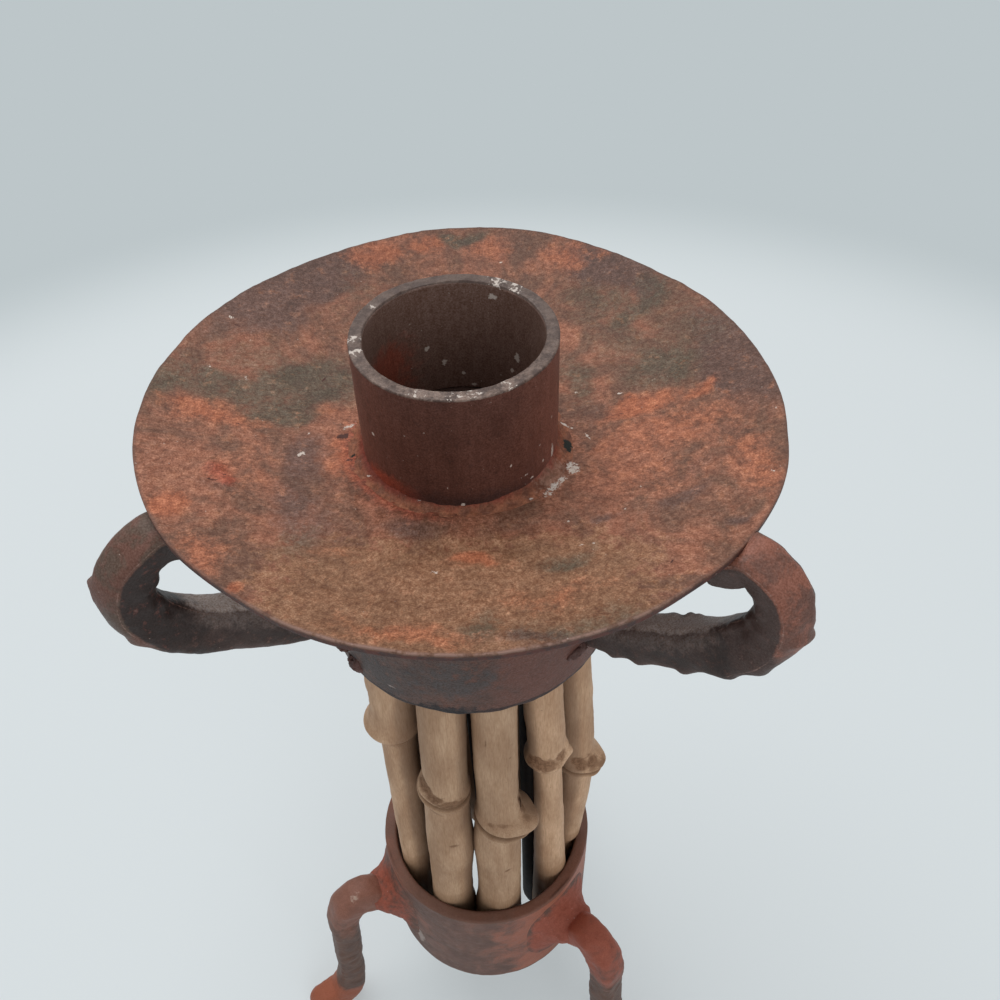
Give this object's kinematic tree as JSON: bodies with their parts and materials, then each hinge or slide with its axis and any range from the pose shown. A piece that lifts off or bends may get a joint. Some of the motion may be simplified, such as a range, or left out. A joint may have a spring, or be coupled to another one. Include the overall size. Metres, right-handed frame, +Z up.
{
  "type": "candle holder",
  "caption": "Rusty steel and cane candle holder: an open cup on a round drip pan, over a bundle of canes held in two pipes, with curled arms and splayed legs.",
  "frame": {"origin": "centre of the candle's seat: the pan's upper face on the axis of the candle cup", "axes": "+Z up along the cup's axis and out of its mouth, +X to the right and -Y to the front as in the picture"},
  "size_m": [0.0953, 0.093, 0.2007],
  "materials": {
    "pan_rust": "rusty sheet steel, mottled brown and orange, rough",
    "cup_rust": "dark red-brown rusty pipe with a worn grey rim",
    "weld_rust": "rough weld metal under rust",
    "collar_steel": "dark purple-brown rusty pipe",
    "arm_steel": "dark red-brown forged bar with worn edges",
    "cane": "dry cream cane with brown nodes, satin",
    "rod_steel": "dark steel rod",
    "ring_rust": "brown rusty pipe, redder at the right",
    "leg_rust": "rusty forged bar, orange at the toes"
  },
  "bodies": {
    "root": {"drip_pan": "pan_rust", "candle_cup": "cup_rust", "cup_weld": "weld_rust", "collar": "collar_steel", "collar_weld": "weld_rust", "arm_left": "arm_steel", "arm_right": "arm_steel", "arm_back": "arm_steel", "arm_root_welds": "weld_rust", "arm_tip_welds": "weld_rust", "cane_1": "cane", "cane_2": "cane", "cane_3": "cane", "cane_4": "cane", "cane_5": "cane", "cane_6": "cane", "cane_7": "cane", "cane_8": "cane", "cane_9": "cane", "cane_10": "cane", "tie_rod_1": "rod_steel", "tie_rod_2": "rod_steel", "tie_rod_3": "rod_steel", "rod_welds": "weld_rust", "lower_ring": "ring_rust", "leg_left": "leg_rust", "leg_right": "leg_rust", "leg_back": "leg_rust", "leg_welds": "weld_rust"}
  },
  "joints": []
}
